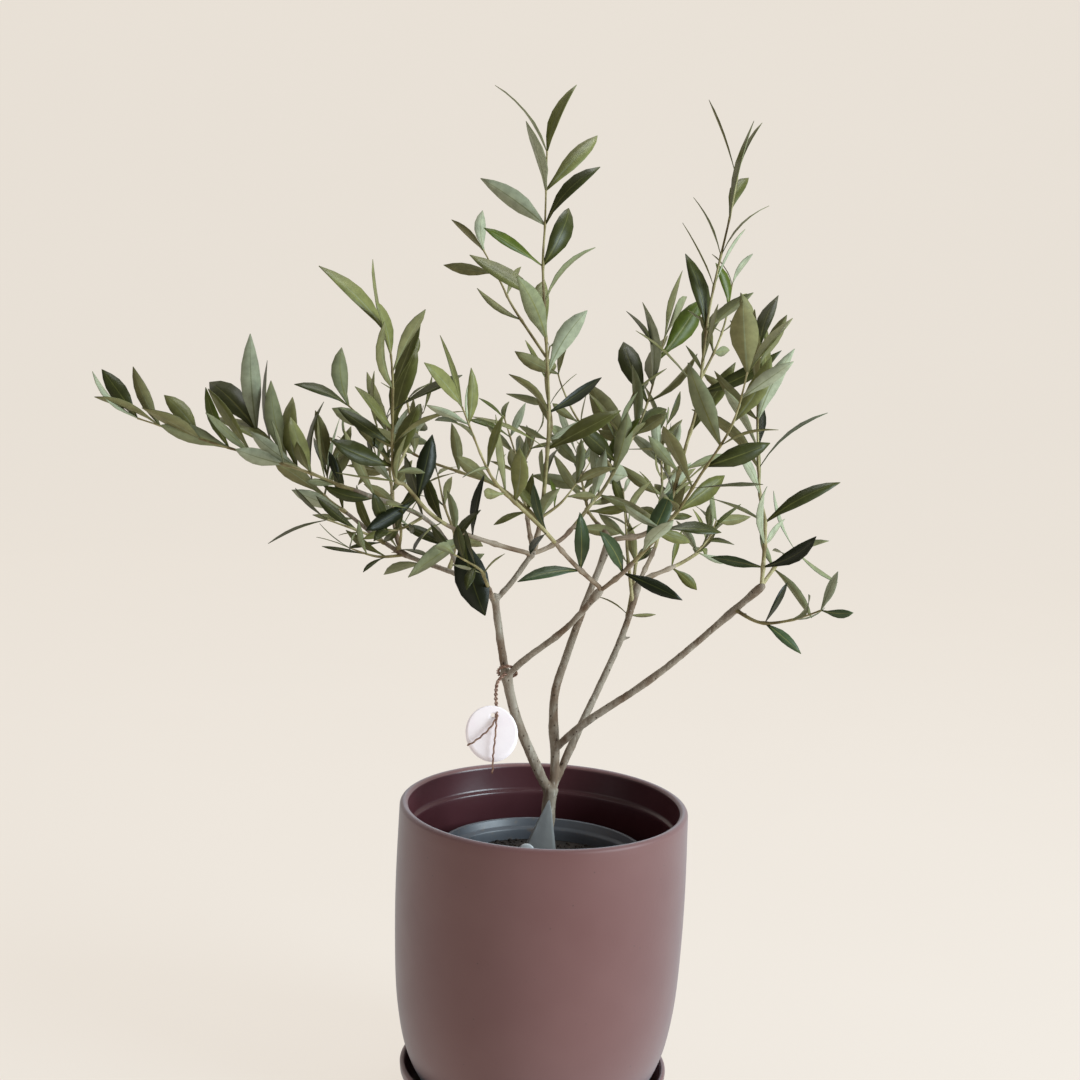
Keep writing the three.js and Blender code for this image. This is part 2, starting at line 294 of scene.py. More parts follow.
def tagCard():
    low, high = (0.93, 0.84, 0.87), (0.97, 0.90, 0.92)
    mat, tree, shader, where = softSkin("tagCard", 0.45, 60, 3, low, high, middling)[:4]
    relief(tree, shader, grain(tree, where, 900, 3), 0.1, 0.0003)
    # the card glows faintly: painted light that makes it brighter than its base colour alone can
    setSockets(shader, {"Emission Color": (1, 0.93, 0.95, 1), "Emission Strength": 0.14})
    return mat


def tieWire():
    low, high = (0.17, 0.080, 0.052), (0.42, 0.27, 0.20)
    mat, _, shader = softSkin("brownWire", 0.35, 300, 3, low, high, middling)[:3]
    setSockets(shader, {"Metallic": 0.35})
    return mat


def clearFilm():
    low, high = (0.40, 0.41, 0.41), (0.56, 0.57, 0.57)
    mat, tree, shader, where = softSkin("frostedFilm", 0.3, 40, 3, low, high, middling)[:4]
    relief(tree, shader, grain(tree, where, 60, 4), 0.3, 0.002)
    setSockets(shader, {"Transmission Weight": 0.55, "IOR": 1.2})
    return mat


def whitePlastic():
    return softSkin("whitePlastic", 0.35, 50, 3, (0.56, 0.57, 0.57), (0.68, 0.69, 0.69), middling)[0]


def paleFloor():
    # mostly its own light, so that floor and backdrop read as one even, pale ground
    low, high = (0.12, 0.12, 0.12), (0.126, 0.126, 0.126)
    mat, _, shader = softSkin("paleFloor", 0.9, 3, 2, low, high)[:3]
    setSockets(shader, {"Emission Color": (0.79, 0.725, 0.645, 1), "Emission Strength": 0.93,
                        "Specular IOR Level": 0.1})
    return mat


sweep = {"half": 4.5, "front": -3.5, "bendStart": 2.2, "bendRadius": 1.2, "height": 5, "steps": 14}


def makeFloor():
    # one sheet that runs back and curves up into a backdrop
    points = [Vector((0, sweep["front"], 0)), Vector((0, sweep["bendStart"], 0))]
    radius = sweep["bendRadius"]
    for i in range(1, sweep["steps"] + 1):
        a = math.pi / 2 * i / sweep["steps"]
        points.append(Vector((0, sweep["bendStart"] + radius * math.sin(a), radius - radius * math.cos(a))))
    points.append(points[-1] + Vector((0, 0, sweep["height"])))
    bm = bmesh.new()
    verts = [bm.verts.new(p - Vector((sweep["half"], 0, 0))) for p in points]
    edges = [bm.edges.new(pair) for pair in zip(verts, verts[1:])]
    out = bmesh.ops.extrude_edge_only(bm, edges=edges)
    moved = [e for e in out["geom"] if isinstance(e, bmesh.types.BMVert)]
    bmesh.ops.translate(bm, verts=moved, vec=(2 * sweep["half"], 0, 0))
    bmesh.ops.recalc_face_normals(bm, faces=bm.faces)
    linkPiece("floor", bm, [paleFloor()])


addCamera()
setTone()
addLamps()
makeFloor()
print("stage: camera, lamps and floor")


# Turned pieces: planter, saucer and nursery pot

def spinProfile(bm, points, steps=112):
    verts = [bm.verts.new((r, 0, z)) for r, z in points]
    edges = [bm.edges.new(pair) for pair in zip(verts, verts[1:])]
    bmesh.ops.spin(bm, geom=verts + edges, cent=(0, 0, 0), axis=(0, 0, 1), angle=2 * math.pi,
                   steps=steps, use_merge=True)
    bmesh.ops.remove_doubles(bm, verts=bm.verts, dist=1e-6)
    bmesh.ops.recalc_face_normals(bm, faces=bm.faces)


def smoothLine(points, cuts=5):
    # a soft curve through a few profile points
    out = []
    count = len(points)
    for i in range(count - 1):
        p0, p1 = points[max(i - 1, 0)], points[i]
        p2, p3 = points[i + 1], points[min(i + 2, count - 1)]
        for k in range(cuts):
            t = k / cuts
            row = []
            for a, b, c, d in zip(p0, p1, p2, p3):
                row.append(0.5 * (2 * b + (c - a) * t + (2 * a - 5 * b + 4 * c - d) * t * t
                                  + (3 * b - a - 3 * c + d) * t ** 3))
            out.append(tuple(row))
    out.append(tuple(points[-1]))
    return out


def roundLip(outer, top, wall, steps=8):
    half = wall / 2
    turns = [math.pi * i / steps for i in range(steps + 1)]
    return [(outer - half + half * math.cos(a), top - half + half * math.sin(a)) for a in turns]


def facing(face):
    # the face's middle, its distance from the axis, and how far it faces away from the axis
    middle = face.calc_center_median()
    radius = math.hypot(middle.x, middle.y)
    return middle, radius, face.normal.x * middle.x + face.normal.y * middle.y


# the swell is the outside as (part of the rim's radius, height in mm); the rest is in mm
planter = {"rim": 120, "wall": 7, "bore": 9, "floor": 10, "drop": 24, "step": 3,
           "swell": [(0.667, 0), (0.76, 8), (0.84, 22), (0.90, 38), (0.945, 58), (0.985, 92), (1.005, 140),
                     (1.01, 190)]}


def makePlanter():
    low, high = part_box("planter")
    foot, top = low.z, high.z
    rim, wall, bore = planter["rim"] * mm, planter["wall"] * mm, planter["bore"] * mm
    step = planter["step"] * mm
    swollen = [(r * rim, foot + z * mm) for r, z in planter["swell"]]
    inside = [(r - wall - step, z) for r, z in reversed(swollen[2:])]
    throat = rim - wall
    ledge = top - planter["drop"] * mm
    points = [(bore, foot), (0.6 * rim, foot)] + smoothLine(swollen + [(rim, top - wall / 2)])
    points += roundLip(rim, top, wall)[1:]
    # the ledge inside, as steps inward and up in mm
    ledgeCurve = [(0, 3), (0.6, 1.2), (1.6, 0.5), (2.6, 0.1), (3, -1.4)]
    points += [(throat - inward * mm, ledge + up * mm) for inward, up in ledgeCurve]
    points += smoothLine([(throat - step, ledge - 4 * mm)] + inside)
    floorTop = foot + planter["floor"] * mm
    points += [(0.74 * rim - wall, floorTop), (bore, floorTop), (bore, foot)]
    bm = bmesh.new()
    spinProfile(bm, points, 128)
    for face in bm.faces:
        middle, radius, outward = facing(face)
        inward = outward < -0.3 * radius
        onFloor = face.normal.z > 0.5 and middle.z < foot + 40 * mm
        onLedge = middle.z < ledge + 6 * mm and face.normal.z > 0.1 and radius < throat + 0.3 * mm
        face.material_index = int((inward or onFloor or onLedge) and middle.z < top - 0.35 * wall)
    standFor(linkPiece("planter_glazed", bm, [outsideGlaze, insideGlaze]), "ceramic", "planter")


# in mm
saucer = {"foot": 91, "top": 32, "wall": 4.5, "floor": 6}


def makeSaucer():
    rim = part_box("saucer")[1].x
    foot, top, wall = saucer["foot"] * mm, saucer["top"] * mm, saucer["wall"] * mm
    floorTop = saucer["floor"] * mm
    slope = [(foot + 1 * mm, 0.4 * mm), (foot + 8 * mm, 4 * mm), (foot + 16 * mm, 13 * mm),
             (rim - 0.6 * mm, 24 * mm)]
    hollow = [(r - wall - 0.6 * mm, z + 3 * mm) for r, z in reversed(slope[1:])]
    points = [(0, 0), (0.5 * foot, 0), (foot, 0)] + smoothLine(slope, 4)
    points += roundLip(rim, top, wall) + smoothLine(hollow, 4)
    points += [(foot - 1 * mm, floorTop), (0, floorTop)]
    bm = bmesh.new()
    spinProfile(bm, points)
    for face in bm.faces:
        middle, radius, outward = facing(face)
        onFloor = middle.z > floorTop - 1 * mm and face.normal.z > 0.2 and radius < rim - 0.7 * wall
        inward = floorTop < middle.z < top - 3 * mm and outward < 0
        face.material_index = int(onFloor or inward)
    standFor(linkPiece("saucer_glazed", bm, [outsideGlaze, insideGlaze]), "ceramic", "saucer")


# in mm
nursery = {"foot": 62, "wall": 1.6, "collar": 12}


def makeNurseryPot():
    low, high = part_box("nursery_pot")
    base, top, rim = low.z, high.z, high.x
    foot, wall = nursery["foot"] * mm, nursery["wall"] * mm
    collar = top - nursery["collar"] * mm
    neck = foot + (rim - 4 * mm - foot) * (collar - base) / (top - base)
    points = [(0, base), (foot - 2 * mm, base), (foot, base + 2 * mm), (neck - 0.2 * mm, collar)]
    # the collar's outside, lip and inside, as steps in from the rim and up from the collar or the top
    points += [(rim - inward * mm, collar + up * mm) for inward, up in ((1.6, 0.2), (1.2, 1.4))]
    lip = ((0.5, -1.5), (0, -0.8), (0.6, 0), (2.4, 0), (3, -0.7))
    points += [(rim - inward * mm, top + up * mm) for inward, up in lip]
    points += [(rim - inward * mm, collar + up * mm) for inward, up in ((3.6, 6), (4.4, 5))]
    throat = ((0, 4), (0.5, 2.6), (0.7, -2))
    points += [(neck - wall - inward * mm, collar + up * mm) for inward, up in throat]
    points += [(foot - wall, base + wall), (0, base + wall)]
    bm = bmesh.new()
    spinProfile(bm, points, 96)
    standFor(linkPiece("nursery_pot_plastic", bm, [nurseryPlastic()]), "nursery_plastic", "nursery_pot")


# depth and dip in mm; the dip is how much lower the bed lies at its edge
bed = {"depth": 30, "dip": 2.6, "narrow": 0.93, "crumbs": 520, "sizes": (0.8, 1.0, 1.3, 1.7, 2.4)}


def makeSoil():
    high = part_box("potting_mix")[1]
    reach = high.x - 0.6 * mm
    level = high.z
    bm = bmesh.new()
    bmesh.ops.create_circle(bm, cap_ends=True, cap_tris=True, segments=72, radius=reach)
    bmesh.ops.subdivide_edges(bm, edges=bm.edges, cuts=3, use_grid_fill=True)
    for vert in bm.verts:
        edge = vert.co.length / reach
        lump = noise.noise(vert.co * 90) * 1.3 + noise.noise(vert.co * 260) * 0.8
        vert.co.z = level + (lump * (1 - edge ** 6) - bed["dip"] * edge ** 2 - 0.6) * mm
    out = bmesh.ops.extrude_face_region(bm, geom=bm.faces[:])
    for vert in [g for g in out["geom"] if isinstance(g, bmesh.types.BMVert)]:
        vert.co.z = level - bed["depth"] * mm
        vert.co.x *= bed["narrow"]
        vert.co.y *= bed["narrow"]
    bmesh.ops.recalc_face_normals(bm, faces=bm.faces)
    standFor(linkPiece("soil_bed", bm, [soil]), "potting_mix", "potting_mix")
    bm = bmesh.new()
    dice = random.Random(4)
    for _ in range(bed["crumbs"]):
        far = reach * math.sqrt(dice.random()) * 0.96
        turn = dice.uniform(0, 2 * math.pi)
        size = dice.choice(bed["sizes"]) * mm
        drop = bed["dip"] * (far / reach) ** 2 * mm
        spot = Matrix.Translation((far * math.cos(turn), far * math.sin(turn), level - drop - 0.1 * mm))
        squash = Matrix.Diagonal((1, dice.uniform(0.6, 1.2), dice.uniform(0.5, 0.8), 1))
        turned = Matrix.Rotation(dice.uniform(0, math.pi), 4, "Z")
        bmesh.ops.create_icosphere(bm, subdivisions=1, radius=size, matrix=spot @ turned @ squash)
    standFor(linkPiece("soil_crumbs", bm, [soil]), "potting_mix")


outsideGlaze = ceramicOutside()
insideGlaze = ceramicInside()
soil = soilMix()
makePlanter()
makeSaucer()
makeNurseryPot()
makeSoil()
print("pot: planter, saucer, nursery pot and soil")


# Wood: each limb's line and girth are read from its solid

oldLimbs = ["trunk", "left_limb", "left_limb_upper", "front_bough", "centre_limb", "right_limb",
            "low_right_limb", "middle_bough", "left_bough", "brown_bough"]
youngLimbs = ["front_left_stem", "front_right_stem", "left_shoot_stem", "centre_shoot_stem",
              "centre_right_stem", "right_shoot_stem", "inner_right_stem", "back_right_stem",
              "outer_right_stem", "back_centre_stem", "back_left_stem", "inner_left_stem"]


def nodeMesh(name):
    bm = bmesh.new()
    bm.from_mesh(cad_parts[name].data)
    bmesh.ops.remove_doubles(bm, verts=bm.verts, dist=1e-6)
    return bm


def sectionAt(bm, point, normal):
    # centre and mean radius of the solid's section, or nothing where the plane misses it
    cut = bm.copy()
    got = bmesh.ops.bisect_plane(cut, geom=cut.verts[:] + cut.edges[:] + cut.faces[:], plane_co=point,
                                 plane_no=normal, clear_inner=True, clear_outer=True)
    edge = [g.co.copy() for g in got["geom_cut"] if isinstance(g, bmesh.types.BMVert)]
    cut.free()
    if len(edge) < 4:
        return None
    middle = sum(edge, Vector()) / len(edge)
    return middle, sum((p - middle).length for p in edge) / len(edge)


def limbLine(name, count=9):
    # from the thick end to the thin end, as centre points with a radius each
    bm = nodeMesh(name)
    corners = [v.co.copy() for v in bm.verts]
    first = min(corners, key=lambda p: p.z)
    far = max(corners, key=lambda p: (p - first).length)
    near = max(corners, key=lambda p: (p - far).length)
    chord = far - near
    line = []
    for i in range(count):
        t = 0.03 + 0.94 * i / (count - 1)
        got = sectionAt(bm, near + chord * t, chord.normalized())
        if got:
            line.append(got)
    bm.free()
    # true radius is the section's squeezed by its slant
    tidy = []
    for i, (spot, radius) in enumerate(line):
        behind, ahead = line[max(i - 1, 0)][0], line[min(i + 1, len(line) - 1)][0]
        slant = abs((ahead - behind).normalized().dot(chord.normalized()))
        tidy.append((spot, radius * (1 + slant) / 2))
    return tidy


limbLines = {name: limbLine(name) for name in oldLimbs + youngLimbs}


def curveLine(stations, cuts=6):
    # Catmull-Rom through (place, radius) pairs
    rows = [(*place, radius) for place, radius in stations]
    return [(Vector(row[:3]), row[3]) for row in smoothLine(rows, cuts)]


def tubesMesh(name, lines, sides):
    # closed tapering tubes, one for each line of (place, radius)
    data = bpy.data.curves.new(name + "_lines", "CURVE")
    data.dimensions = "3D"
    data.bevel_depth = mm
    data.bevel_resolution = sides
    data.use_fill_caps = True
    for line in lines:
        spline = data.splines.new("POLY")
        spline.points.add(len(line) - 1)
        for point, (place, radius) in zip(spline.points, line):
            point.co = (*place, 1)
            point.radius = radius / mm
    holder = bpy.data.objects.new(name + "_lines", data)
    bpy.context.scene.collection.objects.link(holder)
    graph = bpy.context.evaluated_depsgraph_get()
    mesh = bpy.data.meshes.new_from_object(holder.evaluated_get(graph))
    bpy.data.objects.remove(holder)
    return mesh


def meshPiece(name, mesh, mat):
    mesh.name = name
    mesh.materials.clear()
    mesh.materials.append(mat)
    item = bpy.data.objects.new(name, mesh)
    bpy.context.scene.collection.objects.link(item)
    return item


def runBack(line, length):
    # starts the line a little inside its parent
    (first, r), (second, _) = line[0], line[1]
    return [(first + (first - second).normalized() * length, r)] + line


def rooted(line, reach=14):
    # starts a young stem on the middle line of the nearest old limb
    first = line[0][0]
    middles = [spot for name in oldLimbs for spot, _ in curveLine(limbLines[name])]
    best = min(middles, key=lambda p: (p - first).length)
    near = (best - first).length
    return [(best, line[0][1])] + line if 0.2 * mm < near < reach * mm else line


# in mm, but for the count of smoothings
bark = {"voxel": 0.85, "smooth": 2, "ridge": 0.34, "fine": 0.16, "lumps": 0.22, "agedTo": 260}
# where a limb forks or once carried a shoot: limb, how far along it, how much it swells
knots = [("trunk", 0.97, 1.15), ("left_limb", 0.96, 1.3), ("left_limb_upper", 0.97, 1.35),
         ("centre_limb", 0.98, 1.45), ("centre_limb", 0.22, 1.15), ("right_limb", 0.97, 1.4),
         ("low_right_limb", 0.97, 1.5), ("low_right_limb", 0.84, 1.3), ("middle_bough", 0.96, 1.5),
         ("left_bough", 0.6, 1.5), ("front_bough", 0.95, 1.5), ("front_bough", 0.5, 1.2),
         ("low_right_limb", 0.45, 1.15)]
# short dead stubs: limb, how far along, turn about the limb in degrees, length, radius
stubs = [("right_limb", 0.72, 80, 9, 1.2), ("low_right_limb", 0.55, 150, 5, 1.0),
         ("left_bough", 0.62, -30, 7, 1.0), ("low_right_limb", 0.86, 70, 12, 1.1),
         ("front_bough", 0.9, 40, 6, 0.9), ("left_limb", 0.7, 60, 4, 1.2)]


def alongLine(line, share):
    # place, direction and radius at a share of the line's length
    lengths = [(b[0] - a[0]).length for a, b in zip(line, line[1:])]
    left = max(0.0, min(1.0, share)) * sum(lengths)
    for i, step in enumerate(lengths):
        if left <= step or i == len(lengths) - 1:
            t = min(1.0, left / step) if step else 0
            (p, r), (q, s) = line[i], line[i + 1]
            return p.lerp(q, t), (q - p).normalized(), r + (s - r) * t
        left -= step


def stemFrame(direction):
    # turn 0 points to the front of the tree, 90 to its right on an upright stem
    front = Vector((0, -1, 0))
    front = (front - direction * front.dot(direction)).normalized()
    return front, direction.cross(front)


def aimFrom(direction, turn, lean):
    front, side = stemFrame(direction)
    t, k = math.radians(turn), math.radians(lean)
    return direction * math.cos(k) + (front * math.cos(t) + side * math.sin(t)) * math.sin(k)


def swollenLine(name):
    # a limb's line, thicker at its knots, with a rounded end and its start inside its parent
    line = curveLine(limbLines[name])
    total = len(line) - 1
    swollen = []
    for i, (place, radius) in enumerate(line):
        grow = 1
        for limb, share, much in knots:
            if limb == name:
                grow += (much - 1) * math.exp(-((i / total - share) * 22) ** 2)
        swollen.append((place, radius * grow))
    if name != "trunk":
        swollen = runBack(swollen, 5 * mm)
    (last, r), (before, _) = swollen[-1], swollen[-2]
    ahead = (last - before).normalized()
    return swollen + [(last + ahead * 2 * mm, r * 0.8), (last + ahead * 3.2 * mm, r * 0.4)]


def addRelief(bm):
    # ridges along the older wood, fine grain and soft lumps
    bm.normal_update()
    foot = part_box("trunk")[0].z
    for vert in bm.verts:
        p = vert.co
        age = max(0.25, 1 - (p.z - foot) / (bark["agedTo"] * mm))
        ridges = noise.noise(Vector((p.x * 520, p.y * 520, p.z * 70)))
        fine = noise.noise(p * 900)
        lumps = noise.noise(p * 160)
        if p.z > foot + 1 * mm:
            push = bark["ridge"] * ridges * age + bark["fine"] * fine + bark["lumps"] * lumps
            vert.co += vert.normal * push * mm


def makeWood():
    lines = [swollenLine(name) for name in oldLimbs]
    for limb, share, turn, length, radius in stubs:
        place, direction, _ = alongLine(curveLine(limbLines[limb]), share)
        aim = aimFrom(direction, turn, 50) * mm
        lines.append([(place, radius * 1.3 * mm), (place + aim * length * 0.6, radius * mm),
                      (place + aim * length, radius * 0.55 * mm)])
    raw = tubesMesh("bark_wood", lines, 4)
    item = meshPiece("bark_wood", raw, greyBark)
    fuse = item.modifiers.new("fuse", "REMESH")
    fuse.mode = "VOXEL"
    fuse.voxel_size = bark["voxel"] * mm
    graph = bpy.context.evaluated_depsgraph_get()
    mesh = bpy.data.meshes.new_from_object(item.evaluated_get(graph))
    item.modifiers.clear()
    bm = bmesh.new()
    bm.from_mesh(mesh)
    for _ in range(bark["smooth"]):
        bmesh.ops.smooth_vert(bm, verts=bm.verts, factor=0.5, use_axis_x=True, use_axis_y=True,
                              use_axis_z=True)
    addRelief(bm)
    bm.to_mesh(raw)
    bm.free()
    raw.polygons.foreach_set("use_smooth", [True] * len(raw.polygons))
    raw.update()
    standFor(item, "old_bark", *oldLimbs)
    print("wood:", len(raw.polygons), "faces")


greyBark = barkOld()
youngSkin = barkYoung("youngBark", (0.140, 0.100, 0.040), (0.270, 0.228, 0.100), (0.420, 0.368, 0.195))
woodySkin = barkYoung("woodyBark", (0.150, 0.088, 0.052), (0.250, 0.185, 0.125), (0.370, 0.300, 0.225))
makeWood()


# upper and lower colours; each leaf kind pairs one of each
upperTones = {
    "deep": (0.010, 0.014, 0.003), "dark": (0.046, 0.051, 0.011), "olive": (0.104, 0.108, 0.026),
    "fresh": (0.082, 0.110, 0.012), "moss": (0.185, 0.191, 0.062), "teal": (0.058, 0.088, 0.036)}
lowerTones = {
    "sage": (0.220, 0.235, 0.125), "silver": (0.345, 0.370, 0.250), "khaki": (0.190, 0.181, 0.078)}
kinds = {
    "deep": ("deep", "khaki"), "dark": ("dark", "sage"), "olive": ("olive", "khaki"),
    "fresh": ("fresh", "sage"), "moss": ("moss", "silver"), "teal": ("teal", "silver"),
    "sage": ("olive", "sage"), "silver": ("moss", "silver"), "khaki": ("dark", "khaki")}
# the rib of a blade of each colour
ribTones = {
    "deep": "dark", "dark": "olive", "olive": "moss", "fresh": "moss", "moss": "sage", "teal": "moss",
    "sage": "moss", "silver": "sage", "khaki": "sage"}
# thick is the template's own thickness, skin the finished leaf's in mm
blade = {"rows": 6, "rib": 0.085, "thick": 0.012, "skin": 0.35}


def leafOutline(share, fullness):
    # half width, as a part of the widest, at a share of the length from the stalk
    stalk = 0.08
    if share <= stalk:
        return 0.1 - 0.02 * share / stalk
    u = (share - stalk) / (1 - stalk)
    return max(0.035, math.sin(math.pi * u ** fullness) ** 0.85)


def leafTemplate(name, fullness):
    # a flat blade of unit length and unit half width, with a narrow rib strip, given a skin's thickness
    bm = bmesh.new()
    bmesh.ops.create_grid(bm, x_segments=3, y_segments=blade["rows"], size=1)
    for vert in bm.verts:
        share = ((vert.co.y + 1) / 2) ** 0.92
        half = leafOutline(share, fullness)
        rib = min(half * 0.5, blade["rib"] * (1.1 - share))
        vert.co = Vector((math.copysign(half if abs(vert.co.x) > 0.9 else rib, vert.co.x), share, 0))
    for face in bm.faces:
        face.material_index = 2 if abs(face.calc_center_median().x) < 0.02 else 0
    bmesh.ops.solidify(bm, geom=bm.faces[:], thickness=blade["thick"])
    bm.normal_update()
    for face in bm.faces:
        if face.normal.z < -0.5:
            face.material_index += 1  # 1 is the lower blade, 3 its rib
        elif face.normal.z < 0.5:
            face.material_index = 0
    mesh = bpy.data.meshes.new(name)
    bm.to_mesh(mesh)
    bm.free()
    return mesh


def ribFrames(leaf, shares):
    # place, side and lift of the midrib at each share: arch droops it, bow bends it in its own plane
    up = leaf["up"]
    frames = {}
    spot = leaf["foot"].copy()
    last = 0
    for share in sorted(shares):
        swing = Matrix.Rotation(leaf["bow"] * (share - 0.5), 3, up)
        side = swing @ leaf["side"]
        droop = Matrix.Rotation(-leaf["arch"] * (share - 0.5), 3, side)
        fore = droop @ (swing @ leaf["fore"])
        lift = droop @ up
        spot = spot + fore * (share - last) * leaf["length"]
        last = share
        turn = Matrix.Rotation(leaf["twist"] * (share - 0.4), 3, fore)
        frames[share] = (spot, turn @ side, turn @ lift)
    return frames


def growLeaf(bm, leaf, slots):
    start = len(bm.verts)
    startFaces = len(bm.faces)
    bm.from_mesh(templates[leaf["shape"]])
    bm.verts.ensure_lookup_table()
    bm.faces.ensure_lookup_table()
    fresh = bm.verts[start:]
    frames = ribFrames(leaf, {round(v.co.y, 4) for v in fresh})
    for vert in fresh:
        x, y, z = vert.co
        spot, side, lift = frames[round(y, 4)]
        across = x * leaf["width"] / 2
        fold = leaf["fold"] * min(1, 5 * y) * (1 - 0.6 * y)
        wave = leaf["wave"] * math.sin(8 * y + leaf["phase"]) * across
        rise = abs(across) * math.sin(fold) + z * leaf["thick"] + wave
        vert.co = spot + side * across * math.cos(fold) + lift * rise
    upper, lower = kinds[leaf["kind"]]
    tones = [slots[upper], slots[lower], slots[ribTones[upper]], slots[ribTones[lower]]]
    for face in bm.faces[startFaces:]:
        face.material_index = tones[face.material_index]


bladeFullness = {"lance": 0.88, "oval": 1.0, "spoon": 1.22}
templates = {name: leafTemplate(name, fullness) for name, fullness in bladeFullness.items()}

